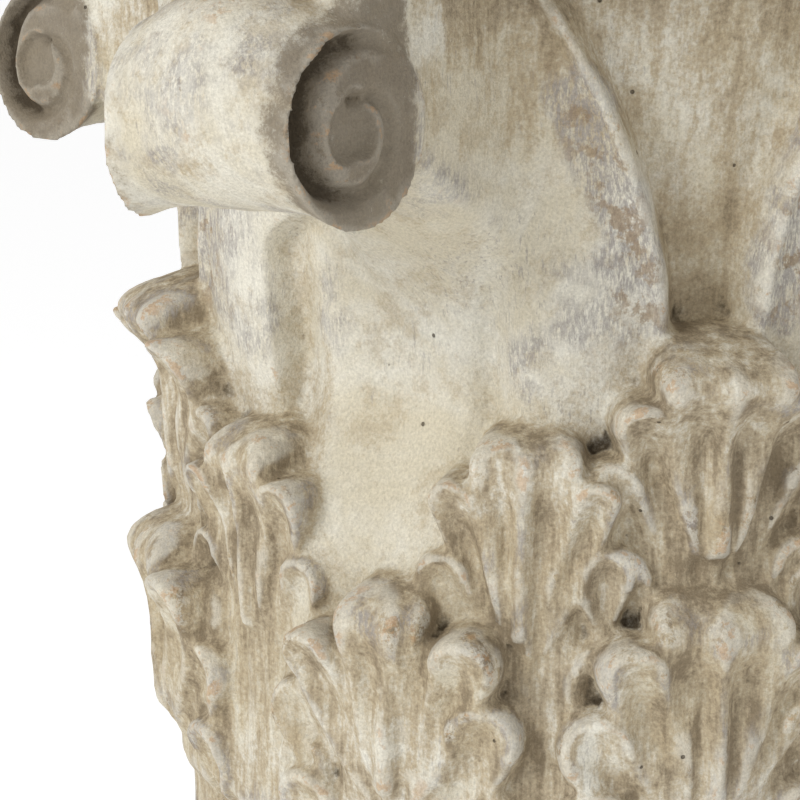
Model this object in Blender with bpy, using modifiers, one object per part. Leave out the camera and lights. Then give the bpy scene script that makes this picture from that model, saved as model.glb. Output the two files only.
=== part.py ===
"""A column pedestal in aged cast stone: a square base, a short fluted shaft, and a large leafy capital.

The origin is at the middle of the underside. The capital's front face looks along -Y.
"""
from math import cos, pi, radians, sin

import bmesh
import bpy
import numpy as np
from mathutils import Matrix, Vector

# overall sizes in metres
seat_gap = 0.0003
base_height = 0.115
shaft_height = 0.395
capital_height = 0.405
abacus_thickness = 0.034

# base
plinth_width = 0.380
plinth_height = 0.048
plinth_edge = 0.003
base_top_radius = 0.160
lower_torus_radius = 0.014
upper_torus_radius = 0.010
fillet_height = 0.006
scotia_depth = 0.010

# shaft
shaft_foot_radius = 0.150
shaft_neck_radius = 0.136
flute_count = 20
flute_share = 0.72
flute_margin = 0.032
ring_radius = 0.0095
cove_radius = 0.012

# capital: the scrolls stand at +-scroll_offset in X and Y, and the carving is in shares of it
scroll_offset = 0.175
scroll_roll_radius = 0.0403
scroll_rim_radius = 0.0350
scroll_width = 0.0896
scroll_roll_drop = 0.0782
scroll_rim_drop = 0.0893
scroll_turn = radians(9)
horn_sunk = 0.012
bell_foot_radius = 0.141
cast_grain = 0.0036
facet_share = 0.0300

# colours of the aged cast stone: the pale crests and the darker, dirtier foot
cast_stone = (0.60, 0.545, 0.43, 1.0)
shaft_stone = (0.57, 0.515, 0.405, 1.0)
base_stone = (0.54, 0.485, 0.38, 1.0)

capital_foot = base_height + shaft_height
capital_top = capital_foot + capital_height
unit = scroll_offset
drop_unit = capital_height / 2.314


def smooth(value, low, high):
    """A soft step from 0 at low to 1 at high."""
    t = np.clip((value - low) / (high - low), 0.0, 1.0)
    return t * t * (3.0 - 2.0 * t)


def bell_radius(drop):
    """Radius of the bare bell at a depth under the capital's top, in units."""
    foot = bell_foot_radius / unit
    behind_leaves = 0.10 * smooth(drop, 1.12, 1.60) * smooth(drop, 2.29, 2.12)
    return foot + 0.04 * smooth(drop, 1.3, 0.9) + 0.10 * smooth(drop, 0.9, 0.15) ** 1.6 + behind_leaves


def abacus_radius(turn):
    """Radius of the abacus at an angle from the middle of its face: a hollow side and a cut corner."""
    mid, rise, reach, corner = 1.13, 0.12, 1.02, 1.605
    k = rise / reach**2
    side = np.maximum(np.sin(turn), 1e-4)
    hollow = (np.cos(turn) - np.sqrt(np.cos(turn) ** 2 - 4 * k * mid * side**2)) / (2 * k * side**2)
    return np.minimum(hollow, corner / np.cos(pi / 4 - turn))


def stalk_radius(turn, drop):
    """Surface of one stalk. turn runs from the middle of a face (0) to its corner (45 degrees)."""
    degrees = np.degrees(turn)
    rise = np.clip((0.98 - drop) / 0.69, 0.0, 1.1)
    crest = 5.6 + 14.5 * rise**1.7
    outer = 30.0 + 20.0 * smooth(drop, 0.86, 0.62)
    body = 0.87 + 0.03 * smooth(drop, 1.5, 1.1) + 0.035 * smooth(drop, 1.25, 0.9) + 0.05 * smooth(drop, 0.8, 0.3)
    inner_wall = smooth(degrees, crest - 3.6, crest + 1.0)
    outer_wall = 1.0 - smooth(degrees, outer - 4.0, outer + 1.4)
    bead = 0.030 * np.exp(-(((degrees - crest - 2.0) / 2.6) ** 2)) * smooth(drop, 1.3, 0.75)
    bulge = 0.020 * np.sin(pi * np.clip((degrees - crest) / (outer - crest), 0, 1))
    bell = bell_radius(drop)
    stalk = bell + (body - bell + bead + bulge) * inner_wall * outer_wall
    # under the scroll the stalk turns into the plane of the spiral's face
    tilt = pi / 4 - scroll_turn
    face_plane = cos(tilt) - sin(tilt) + scroll_width / 2 / unit * cos(scroll_turn) - horn_sunk
    plane = face_plane / np.maximum(np.cos(turn + tilt), 0.2)
    horn = np.minimum(plane, hollow_radius(turn, drop) + 0.47 * smooth(drop, 0.98, 0.42))
    return np.maximum(stalk, horn)


def hollow_radius(turn, drop):
    """The hollow between two stalks at a corner."""
    return bell_radius(drop) + 0.035 * smooth(np.degrees(turn), 45.0, 30.0)


# fingers of one side of a leaf: start and end as (across, below the top), and the end's half width
leaf_fingers = (
    ((0.020, 0.46), (0.060, 0.085), 0.080),
    ((0.030, 0.50), (0.152, 0.185), 0.068),
    ((0.035, 0.66), (0.195, 0.350), 0.078),
    ((0.035, 0.86), (0.200, 0.550), 0.084),
    ((0.035, 1.10), (0.195, 0.770), 0.090),
)
finger_steps = 14


def leaf_radius(across, below, bell, leaf):
    """Radius of one leaf's front where it stands out of the bell, else zero."""
    body = leaf["body"] - 0.05 * smooth(below, 0.2, 0.9) - 0.10 * smooth(below, 0.45, 0.85) * leaf["taper"]
    plane = body + (leaf["tip"] - body) * np.exp(-(((below - 0.09) / 0.10) ** 2)) - bell
    nose = np.sqrt(np.clip(1.0 - (np.clip(0.12 - below, 0, 1) / 0.125) ** 2, 0.0, 1.0))
    width = leaf["width"]
    core = width * (0.05 + 0.075 * smooth(below, 0.12, 0.45))
    lift = (plane * nose - 0.03) * np.clip(1.0 - (across / core) ** 4, 0.0, 1.0) ** 0.5
    for side in (-1, 1):
        for number, ((x0, y0), (x1, y1), end_width) in enumerate(leaf_fingers):
            nearest = np.full_like(across, 9.0)
            along = np.zeros_like(across)
            for step in range(finger_steps + 1):
                q = step / finger_steps
                bow = 0.05 * q * (1.0 - q)
                apart = leaf["cleft"] if number == 0 else 1.0
                x = side * width * (x0 + (x1 - x0) * q + bow) * apart
                y = y0 + (y1 - y0) * q + bow * 0.4
                half = width * (0.040 + (end_width - 0.040) * q**0.7)
                near = np.hypot(across - x, below - y) / half
                along = np.where(near < nearest, q, along)
                nearest = np.minimum(near, nearest)
            dome = np.clip(1.0 - nearest**4, 0.0, 1.0) ** 0.5
            dish = 0.035 * along * np.exp(-((nearest / 0.5) ** 2))
            back = 0.022 * min(number, 2)
            curl = 0.045 * along**3 * min(number, 1)
            lift = np.maximum(lift, (plane * nose - back + curl) * dome - dish * dome)
    rib = np.exp(-((across / 0.022) ** 2)) * smooth(below, 0.10, 0.25)
    groove = np.exp(-(((np.abs(across) - 0.036) / 0.012) ** 2)) * smooth(below, 0.12, 0.25)
    lift = np.where(lift > 0.0, lift + 0.016 * rib - 0.030 * groove, 0.0)
    return np.where(lift > 0.004, bell + lift, 0.0)


def leaf_tiers():
    """Every leaf from the back forward: 4 high, 8 middle and 8 low ones, each with its own lean."""
    high = {"body": 1.02, "tip": 1.13, "width": 1.15, "taper": 0.0, "cleft": 1.0}
    middle = {"body": 1.0, "tip": 1.06, "width": 0.92, "taper": 0.3, "cleft": 1.0}
    low = {"body": 1.045, "tip": 1.10, "taper": 1.0}
    leaves = [dict(high, angle=90.0 * k, top=0.95) for k in range(4)]
    for k in range(4):
        leaves.append(dict(middle, angle=90.0 * k - 23.0, top=1.15))
        leaves.append(dict(middle, angle=90.0 * k + 23.0, top=1.20))
    for k in range(4):
        leaves.append(dict(low, angle=90.0 * k, top=1.51, width=1.24, cleft=1.0))
        leaves.append(dict(low, angle=90.0 * k + 45.0, top=1.51, width=1.08, cleft=0.3))
    return leaves


def carved_radius(angle, drop):
    """Radius of the whole carved body in units. angle is from the front face's middle, in radians."""
    quarter = pi / 2
    turn = np.abs((angle + quarter / 2) % quarter - quarter / 2)
    radius = np.maximum(stalk_radius(turn, drop), hollow_radius(turn, drop))
    bell = bell_radius(drop)
    for leaf in leaf_tiers():
        apart = (angle - radians(leaf["angle"]) + pi) % (2 * pi) - pi
        near = (np.abs(apart) < 0.36 * leaf["width"]) & (drop > leaf["top"] - 0.02)
        front = leaf_radius(apart[near], (drop - leaf["top"])[near], bell[near], leaf)
        radius[near] = np.maximum(radius[near], front)
    return radius


def polar_body(name, turns, rows, low_drop, high_drop):
    """A closed body whose radius follows carved_radius: a grid rolled round the axis, welded and capped."""
    bm = bmesh.new()
    bmesh.ops.create_grid(bm, x_segments=turns, y_segments=rows, size=0.5)
    flat = np.array([v.co[:] for v in bm.verts])
    angle = flat[:, 0] * 2 * pi
    drop = low_drop + (high_drop - low_drop) * (flat[:, 1] + 0.5)
    radius = carved_radius(angle, drop) * unit
    for vert, a, d, r in zip(bm.verts, angle, drop, radius):
        vert.co = (r * sin(a), -r * cos(a), capital_top - d * drop_unit)
    bmesh.ops.remove_doubles(bm, verts=bm.verts, dist=1e-6)
    bmesh.ops.holes_fill(bm, edges=[e for e in bm.edges if e.is_boundary])
    bmesh.ops.recalc_face_normals(bm, faces=bm.faces)
    mesh = bpy.data.meshes.new(name)
    bm.to_mesh(mesh)
    bm.free()
    return mesh


# the spiral's channel from the rim inwards: angle in degrees, place, half width and depth as radius shares
spiral_line = (
    (60, 0.90, 0.08, 0.20),
    (120, 0.85, 0.14, 0.36),
    (180, 0.78, 0.17, 0.42),
    (225, 0.71, 0.14, 0.38),
    (270, 0.60, 0.11, 0.30),
    (330, 0.46, 0.10, 0.26),
    (380, 0.38, 0.09, 0.26),
    (440, 0.30, 0.08, 0.24),
)


def spiral_groove(radius, angle):
    """Depth of the scroll's spiral channel, as a share of the scroll's radius."""
    stops, places, widths, depths = (np.array(column, dtype=float) for column in zip(*spiral_line))
    depth = np.zeros_like(radius)
    for lap in (0.0, 360.0):
        degrees = np.degrees(angle) % 360.0 + lap
        inside = (degrees > stops[0]) & (degrees < stops[-1])
        apart = (radius - np.interp(degrees, stops, places)) / np.interp(degrees, stops, widths)
        channel = np.interp(degrees, stops, depths) * np.exp(-(apart**2))
        depth = np.maximum(depth, np.where(inside, channel, 0.0))
    return depth


def scroll_body(name, corner):
    """One corner scroll: a waisted roll with a spiral sunk in each end."""
    around, rings, laps = 64, 10, 12
    bm = bmesh.new()
    out = Vector((sin(corner), -cos(corner), 0.0))
    axis = Vector((cos(corner), sin(corner), 0.0))
    up = Vector((0.0, 0.0, 1.0))

    def ring_of(side, share, sunk):
        tilt = scroll_turn * side
        run = out * cos(tilt) - axis * sin(tilt)
        face = axis * cos(tilt) + out * sin(tilt)
        waist = side**2 + 1.2 * side**2 * (1 - side**2)
        radius = scroll_roll_radius + (scroll_rim_radius - scroll_roll_radius) * waist
        drop = scroll_roll_drop + (scroll_rim_drop - scroll_roll_drop) * side**2
        centre = out * (scroll_offset * 2**0.5) + up * (capital_top - drop) + axis * (scroll_width / 2 * side)
        verts = []
        for i in range(around):
            angle = 2 * pi * i / around
            turned = angle if side < 0 else pi - angle
            groove = spiral_groove(np.array([share]), np.array([turned]))[0] if sunk else 0.0
            inward = float(groove) * scroll_rim_radius * (1.0 if side > 0 else -1.0)
            r = radius * share
            verts.append(bm.verts.new(centre + run * (r * cos(angle)) + up * (r * sin(angle)) - face * inward))
        return verts

    loops = [ring_of(-1.0, share, True) for share in np.linspace(0.04, 0.95, laps)]
    loops += [ring_of(side, 1.0, False) for side in np.linspace(-1.0, 1.0, rings)]
    loops += [ring_of(1.0, share, True) for share in np.linspace(0.95, 0.04, laps)]
    for first, second in zip(loops, loops[1:]):
        for i in range(around):
            j = (i + 1) % around
            bm.faces.new((first[i], first[j], second[j], second[i]))
    bm.faces.new(loops[0])
    bm.faces.new(loops[-1])
    bmesh.ops.recalc_face_normals(bm, faces=bm.faces)
    mesh = bpy.data.meshes.new(name)
    bm.to_mesh(mesh)
    bm.free()
    return mesh


def make_material(name, colour, roughness):
    material = bpy.data.materials.new(name)
    material.use_nodes = True
    shader = material.node_tree.nodes["Principled BSDF"]
    shader.inputs["Base Color"].default_value = colour
    shader.inputs["Roughness"].default_value = roughness
    shader.inputs["Metallic"].default_value = 0.0
    return material


def add_object(name, mesh, collection, material=None):
    piece = bpy.data.objects.new(name, mesh)
    collection.objects.link(piece)
    if material:
        mesh.materials.append(material)
    return piece


def as_cutter(piece):
    piece.hide_render = True
    piece.display_type = "WIRE"
    return piece


def boolean(piece, operation, other):
    modifier = piece.modifiers.new(operation.lower(), "BOOLEAN")
    modifier.operation = operation
    modifier.solver = "EXACT"
    modifier.object = other


def box_mesh(name, size, centre):
    bm = bmesh.new()
    bmesh.ops.create_cube(bm, size=1.0, matrix=Matrix.Translation(centre) @ Matrix.Diagonal((*size, 1.0)))
    mesh = bpy.data.meshes.new(name)
    bm.to_mesh(mesh)
    bm.free()
    return mesh


def abacus_mesh():
    """The slab on top: a hollow-sided outline with a bevelled lower edge."""
    steps = 10
    bm = bmesh.new()
    outline = []
    for face in range(4):
        for step in range(-steps, steps):
            turn = pi / 4 * step / steps
            radius = float(abacus_radius(np.array([abs(turn)]))[0]) * unit
            angle = face * pi / 2 + turn
            outline.append((radius * sin(angle), -radius * cos(angle)))
    levels = ((0.0, 1.0), (0.62, 1.0), (0.70, 0.972), (1.0, 0.945))
    loops = []
    for depth, share in levels:
        z = capital_top - abacus_thickness * depth
        loops.append([bm.verts.new((x * share, y * share, z)) for x, y in outline])
    count = len(outline)
    for upper, lower in zip(loops, loops[1:]):
        for i in range(count):
            j = (i + 1) % count
            bm.faces.new((upper[i], upper[j], lower[j], lower[i]))
    bm.faces.new(loops[0])
    bm.faces.new(loops[-1])
    bmesh.ops.recalc_face_normals(bm, faces=bm.faces)
    mesh = bpy.data.meshes.new("abacus")
    bm.to_mesh(mesh)
    bm.free()
    return mesh


def build_capital(parts, cutters):
    """Bell, leaves, stalks and scrolls cast into one, with the abacus on top."""
    sunk = 0.03
    bm = bmesh.new()
    bm.from_mesh(polar_body("bell", 360, 150, 0.5 * abacus_thickness / drop_unit, 2.314 + sunk / drop_unit))
    for corner in range(4):
        bm.from_mesh(scroll_body("scroll", pi / 4 + corner * pi / 2))
    mesh = bpy.data.meshes.new("capital")
    bm.to_mesh(mesh)
    bm.free()
    capital = add_object("capital", mesh, parts, make_material("cast_stone", cast_stone, 0.85))
    remesh = capital.modifiers.new("casting", "REMESH")
    remesh.mode = "VOXEL"
    remesh.voxel_size = cast_grain
    facets = capital.modifiers.new("facets", "DECIMATE")
    facets.ratio = facet_share
    abacus = as_cutter(add_object("abacus_form", abacus_mesh(), cutters))
    boolean(capital, "UNION", abacus)
    span = 4 * scroll_offset
    below = box_mesh("seat_cut", (span, span, 4 * sunk), (0.0, 0.0, capital_foot + seat_gap - 2 * sunk))
    boolean(capital, "DIFFERENCE", as_cutter(add_object("seat_cut", below, cutters)))
    return capital


def turned(name, profile, steps, collection, material):
    """A solid of revolution from (radius, height) points listed down its outer side."""
    mesh = bpy.data.meshes.new(name)
    points = [(r, 0.0, z) for r, z in profile]
    mesh.from_pydata(points, [(i, i + 1) for i in range(len(points) - 1)], [])
    piece = add_object(name, mesh, collection, material)
    screw = piece.modifiers.new("turned", "SCREW")
    screw.steps = steps
    screw.render_steps = steps
    screw.use_merge_vertices = True
    screw.merge_threshold = 0.00005
    return piece


def half_round(radius, centre, size, steps, start=90.0, end=-90.0):
    """Points of a bead standing out of a radius, listed downwards."""
    points = []
    for step in range(steps + 1):
        angle = radians(start + (end - start) * step / steps)
        points.append((radius + size * cos(angle), centre + size * sin(angle)))
    return points


def build_shaft(parts, cutters):
    """The fluted shaft with the ring at its neck."""
    low, high = base_height + seat_gap, capital_foot
    ring_centre = high - ring_radius
    profile = [(0.0, high), (shaft_neck_radius, high)]
    profile += half_round(shaft_neck_radius, ring_centre, ring_radius, 4)[1:]
    profile += [(shaft_neck_radius, ring_centre - ring_radius - 0.002)]
    foot_lift = 0.010
    cove_top = low + foot_lift + cove_radius
    profile += [(shaft_foot_radius, cove_top), (shaft_foot_radius + 0.35 * cove_radius, low + foot_lift)]
    profile += [(shaft_foot_radius + 0.35 * cove_radius, low), (0.0, low)]
    shaft = turned("shaft", profile, 60, parts, make_material("shaft_stone", shaft_stone, 0.88))
    bottom = cove_top + flute_margin
    top = ring_centre - ring_radius - flute_margin
    lean = (shaft_foot_radius - shaft_neck_radius) / (top - bottom)
    flute = pi * (shaft_foot_radius + shaft_neck_radius) / 2 / flute_count * flute_share
    bm = bmesh.new()
    for index in range(flute_count):
        angle = 2 * pi * (index + 0.5) / flute_count
        away = 0.35 * flute
        centre = Vector(((shaft_foot_radius + shaft_neck_radius) / 2 + away, 0.0, (bottom + top) / 2))
        turn = Matrix.Rotation(angle, 4, "Z")
        place = turn @ Matrix.Translation(centre) @ Matrix.Rotation(-lean, 4, "Y")
        capsule = bmesh.ops.create_uvsphere(bm, u_segments=8, v_segments=4, radius=flute, matrix=Matrix())
        stretch = (top - bottom) / 2
        for vert in capsule["verts"]:
            vert.co.z += stretch if vert.co.z > 1e-6 else -stretch if vert.co.z < -1e-6 else 0.0
        for vert in capsule["verts"]:
            vert.co = place @ vert.co
    mesh = bpy.data.meshes.new("flutes")
    bm.to_mesh(mesh)
    bm.free()
    boolean(shaft, "DIFFERENCE", as_cutter(add_object("flutes", mesh, cutters)))
    return shaft


def build_base(parts, cutters):
    """The square plinth with two round mouldings and a hollow between them."""
    top = base_height
    bead_top = top - 0.004
    radius = base_top_radius
    profile = [(0.0, top), (radius, top), (radius, bead_top)]
    profile += half_round(radius, bead_top - upper_torus_radius, upper_torus_radius, 4)
    z = bead_top - 2 * upper_torus_radius - fillet_height / 2
    profile += [(radius, z)]
    lower_top = plinth_height + 2 * lower_torus_radius + fillet_height / 2
    for step in range(1, 5):
        share = step / 5
        dip = scotia_depth * sin(pi * share)
        profile.append((radius + 0.004 * share - dip, z + (lower_top - z) * share))
    profile += [(radius + 0.004, lower_top)]
    profile += half_round(radius + 0.004, plinth_height + lower_torus_radius, lower_torus_radius, 4)[:-1]
    profile += [(radius + 0.004, plinth_height - 0.004), (0.0, plinth_height - 0.004)]
    base = turned("base", profile, 48, parts, make_material("base_stone", base_stone, 0.9))
    size = (plinth_width, plinth_width, plinth_height)
    plinth = add_object("plinth_form", box_mesh("plinth", size, (0.0, 0.0, plinth_height / 2)), cutters)
    edge = plinth.modifiers.new("edge", "BEVEL")
    edge.width = plinth_edge
    edge.segments = 2
    boolean(base, "UNION", as_cutter(plinth))
    return base


def main():
    for thing in list(bpy.data.objects):
        bpy.data.objects.remove(thing, do_unlink=True)
    parts = bpy.data.collections.new("column_pedestal")
    cutters = bpy.data.collections.new("forms_and_cutters")
    bpy.context.scene.collection.children.link(parts)
    bpy.context.scene.collection.children.link(cutters)
    build_base(parts, cutters)
    build_shaft(parts, cutters)
    build_capital(parts, cutters)


main()
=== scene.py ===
from math import cos, pi, radians, sin

import bmesh
import bpy
import numpy as np
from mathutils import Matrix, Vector
from mathutils.bvhtree import BVHTree


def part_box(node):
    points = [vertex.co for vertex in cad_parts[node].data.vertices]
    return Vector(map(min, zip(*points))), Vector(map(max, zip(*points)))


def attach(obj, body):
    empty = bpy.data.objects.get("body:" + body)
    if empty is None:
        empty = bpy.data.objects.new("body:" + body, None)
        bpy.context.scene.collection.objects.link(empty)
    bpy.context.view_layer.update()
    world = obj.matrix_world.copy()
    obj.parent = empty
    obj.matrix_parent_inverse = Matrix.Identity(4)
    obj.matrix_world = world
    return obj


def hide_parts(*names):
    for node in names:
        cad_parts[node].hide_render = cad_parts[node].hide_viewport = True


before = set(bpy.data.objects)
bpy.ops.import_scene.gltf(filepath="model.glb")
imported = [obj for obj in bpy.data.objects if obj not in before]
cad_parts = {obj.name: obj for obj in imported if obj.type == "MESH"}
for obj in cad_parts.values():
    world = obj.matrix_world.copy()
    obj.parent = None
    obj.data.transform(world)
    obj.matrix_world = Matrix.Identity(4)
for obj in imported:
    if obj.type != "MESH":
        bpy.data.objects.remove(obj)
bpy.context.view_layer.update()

capitalLow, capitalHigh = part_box("capital")
shaftLow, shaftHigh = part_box("shaft")
baseLow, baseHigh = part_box("base")


# helpers
def selectOnly(piece):
    bpy.ops.object.select_all(action="DESELECT")
    piece.select_set(True)
    bpy.context.view_layer.objects.active = piece


def readPoints(piece):
    co = np.empty(len(piece.data.vertices) * 3)
    piece.data.vertices.foreach_get("co", co)
    return co.reshape(-1, 3)


def writePoints(piece, points):
    piece.data.vertices.foreach_set("co", np.asarray(points, dtype=np.float32).ravel())
    piece.data.update()


def readNormals(piece):
    out = np.empty(len(piece.data.vertices) * 3)
    piece.data.vertices.foreach_get("normal", out)
    return out.reshape(-1, 3)


def readEdges(piece):
    edges = np.empty(len(piece.data.edges) * 2, dtype=np.int64)
    piece.data.edges.foreach_get("vertices", edges)
    return edges.reshape(-1, 2)


def applyModifier(piece, kind, **values):
    selectOnly(piece)
    modifier = piece.modifiers.new(kind.lower(), kind)
    for key, value in values.items():
        setattr(modifier, key, value)
    bpy.ops.object.modifier_apply(modifier=modifier.name)


def soft(value, low, high):
    t = np.clip((value - low) / (high - low), 0.0, 1.0)
    return t * t * (3.0 - 2.0 * t)


def bump(value, middle, spread):
    return np.exp(-(((value - middle) / spread) ** 2))


# smooth 3-D noise from -1 to 1, with cells of the given size in metres
def latticeNoise(points, size, seed):
    table = np.random.default_rng(seed).uniform(-1.0, 1.0, 4096)
    grid = points / size
    cell = np.floor(grid).astype(np.int64)
    part = grid - cell
    part = part * part * (3.0 - 2.0 * part)
    total = np.zeros(len(points))
    for i in (0, 1):
        for j in (0, 1):
            for k in (0, 1):
                mixed = (cell[:, 0] + i) * 73856093 ^ (cell[:, 1] + j) * 19349663 ^ (cell[:, 2] + k) * 83492791
                weight = np.where(i, part[:, 0], 1 - part[:, 0]) * np.where(j, part[:, 1], 1 - part[:, 1])
                total += weight * np.where(k, part[:, 2], 1 - part[:, 2]) * table[mixed & 4095]
    return total


# a grid rolled round the axis; shape gives radius and height for each angle and row share
def rolledGrid(name, turns, rows, shape):
    bpy.ops.object.select_all(action="DESELECT")
    bpy.ops.mesh.primitive_grid_add(x_subdivisions=turns, y_subdivisions=rows, size=1.0)
    piece = bpy.context.active_object
    piece.name = name
    flat = readPoints(piece)
    angle = flat[:, 0] * 2 * pi
    radius, height = shape(angle, flat[:, 1] + 0.5)
    writePoints(piece, np.column_stack([radius * np.sin(angle), -radius * np.cos(angle), height]))
    selectOnly(piece)
    bpy.ops.object.mode_set(mode="EDIT")
    bpy.ops.mesh.select_all(action="SELECT")
    bpy.ops.mesh.remove_doubles(threshold=1e-5)
    bpy.ops.mesh.select_all(action="DESELECT")
    bpy.ops.mesh.select_non_manifold()
    bpy.ops.mesh.fill_holes(sides=0)
    bpy.ops.mesh.select_all(action="SELECT")
    bpy.ops.mesh.normals_make_consistent(inside=False)
    bpy.ops.object.mode_set(mode="OBJECT")
    return piece


def joinPieces(main, others):
    selectOnly(main)
    for other in others:
        other.select_set(True)
    bpy.ops.object.join()


def thin(piece, triangles):
    piece.data.calc_loop_triangles()
    count = len(piece.data.loop_triangles)
    if count > triangles:
        applyModifier(piece, "DECIMATE", ratio=triangles / count * 0.998)


# cuts the piece flat at a height and closes the cut
def cutFlat(piece, height, above):
    mesh = bmesh.new()
    mesh.from_mesh(piece.data)
    geometry = mesh.verts[:] + mesh.edges[:] + mesh.faces[:]
    cut = bmesh.ops.bisect_plane(
        mesh, geom=geometry, plane_co=(0, 0, height), plane_no=(0, 0, 1), clear_outer=above, clear_inner=not above
    )
    edges = [e for e in cut["geom_cut"] if isinstance(e, bmesh.types.BMEdge)]
    bmesh.ops.contextual_create(mesh, geom=edges)
    bmesh.ops.triangulate(mesh, faces=[f for f in mesh.faces if len(f.verts) > 4])
    mesh.to_mesh(piece.data)
    mesh.free()


wearCells = ((0.016, 1.0), (0.007, 0.55), (0.0032, 0.35))  # size of each noise's cells in metres, and its share


# the uneven skin of a worn casting, which takes away more stone than it adds
def wear(piece, depth):
    points, normals = readPoints(piece), readNormals(piece)
    rough = np.zeros(len(points))
    for seed, (size, share) in enumerate(wearCells, 1):
        rough += share * latticeNoise(points, size, seed)
    writePoints(piece, points + normals * (depth * (rough - 0.5))[:, None])


# attributes that the stone's colours read, with all lengths in metres
shadeSet = {
    "reach": 0.045,  # length of the rays that look for hollows
    "gap": 0.0006,  # where a ray starts above the skin
    "lean": 1.05,  # how far the rays lean to the normal
    "ridge": 0.0006,
    "crest": 0.0024,
    "crevice_shade": (0.00018, 0.0008),
    "creviceHollow": (0.12, 0.45),
}


# each value moved to the mean of its neighbours, half way a round
def evened(values, edges, rounds):
    count = len(values)
    degree = np.bincount(edges.ravel(), minlength=count).astype(float).clip(1)
    columns = values.reshape(count, -1).T.copy()
    for _ in range(rounds):
        for column in columns:
            total = np.bincount(edges[:, 0], column[edges[:, 1]], count)
            total += np.bincount(edges[:, 1], column[edges[:, 0]], count)
            column[:] = 0.5 * column + 0.5 * total / degree
    return columns.T.reshape(values.shape)


def keepShade(piece, name, values):
    layer = piece.data.attributes.new(name, "FLOAT", "POINT")
    layer.data.foreach_set("value", np.asarray(values, dtype=np.float32))


# share of short rays from each point that meet the stone again
def hollowness(piece, rays):
    reach = shadeSet["reach"]
    points, normals = readPoints(piece), readNormals(piece)
    mesh = bmesh.new()
    mesh.from_mesh(piece.data)
    tree = BVHTree.FromBMesh(mesh)
    mesh.free()
    rng = np.random.default_rng(3)
    hits = np.zeros(len(points))
    starts = points + normals * shadeSet["gap"]
    for _ in range(rays):
        way = rng.normal(size=points.shape)
        way /= np.linalg.norm(way, axis=1)[:, None]
        way = way + normals * shadeSet["lean"]
        way /= np.linalg.norm(way, axis=1)[:, None]
        for index, (start, direction) in enumerate(zip(starts.tolist(), way.tolist())):
            distance = tree.ray_cast(start, direction, reach)[3]
            if distance is not None:
                hits[index] += 1.0 - 0.6 * distance / reach
    return hits / rays


def shadeAttributes(piece, rays, painted):
    points, normals, edges = readPoints(piece), readNormals(piece), readEdges(piece)
    near = evened(((points - evened(points, edges, 4)) * normals).sum(1), edges, 1)
    wide = evened(((points - evened(points, edges, 30)) * normals).sum(1), edges, 3)
    hollow = np.clip(evened(hollowness(piece, rays), edges, 5), 0, 1)
    keepShade(piece, "ridge", np.clip(near / shadeSet["ridge"], 0, 1))
    keepShade(piece, "crest", np.clip(wide / shadeSet["crest"], -1, 1) * 0.5 + 0.5)
    keepShade(piece, "hollow", hollow)
    # sharp concave creases that the rays find hollow, later painted near-black as shade
    keepShade(piece, "crevice_shade", soft(-near, *shadeSet["crevice_shade"]) * soft(hollow, *shadeSet["creviceHollow"]))
    for name in ("soil_and_shade", "tint", "brushed"):
        keepShade(piece, name, evened(painted[name], edges, 2) if name in painted else np.zeros(len(points)))


def finishPiece(piece, node, material):
    piece.data.materials.clear()
    piece.data.materials.append(material)
    selectOnly(piece)
    bpy.ops.object.shade_smooth()
    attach(piece, "root")
    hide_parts(node)


# materials
def nodeMaker(tree):
    def make(kind, inputs=(), **values):
        node = tree.nodes.new(kind)
        for key, value in values.items():
            setattr(node, key, value)
        for socket, value in dict(inputs).items():
            target = node.inputs[socket]
            if isinstance(value, bpy.types.NodeSocket):
                tree.links.new(value, target)
            else:
                target.default_value = value
        return node

    return make


def startGroup(name, inputs, outputs):
    group = bpy.data.node_groups.new(name, "ShaderNodeTree")
    for label, kind, default in inputs:
        socket = group.interface.new_socket(label, in_out="INPUT", socket_type=kind)
        if default is not None:
            socket.default_value = default
    for label, kind in outputs:
        group.interface.new_socket(label, in_out="OUTPUT", socket_type=kind)
    make = nodeMaker(group)
    return group, make, make("NodeGroupInput").outputs, make("NodeGroupOutput").inputs


def rampMask(make, value, low, high):
    settings = {"Value": value, "From Min": low, "From Max": high}
    return make("ShaderNodeMapRange", settings, interpolation_type="SMOOTHSTEP").outputs["Result"]


def blendColour(make, share, first, second, kind="MIX"):
    node = make("ShaderNodeMix", {0: share, 6: first, 7: second}, data_type="RGBA", blend_type=kind)
    return node.outputs[2]


def mathOf(make, operation, first, second=0.0, third=0.0, clamp=False):
    return make("ShaderNodeMath", {0: first, 1: second, 2: third}, operation=operation, use_clamp=clamp).outputs[0]


def noiseOf(make, place, scale, detail=4.0, rough=0.6, distortion=0.0):
    settings = {"Vector": place, "Scale": scale, "Detail": detail, "Roughness": rough, "Distortion": distortion}
    return make("ShaderNodeTexNoise", settings).outputs["Fac"]


def stretched(make, place, scale, turn):
    return make("ShaderNodeMapping", {"Vector": place, "Scale": scale, "Rotation": turn}).outputs[0]
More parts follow.
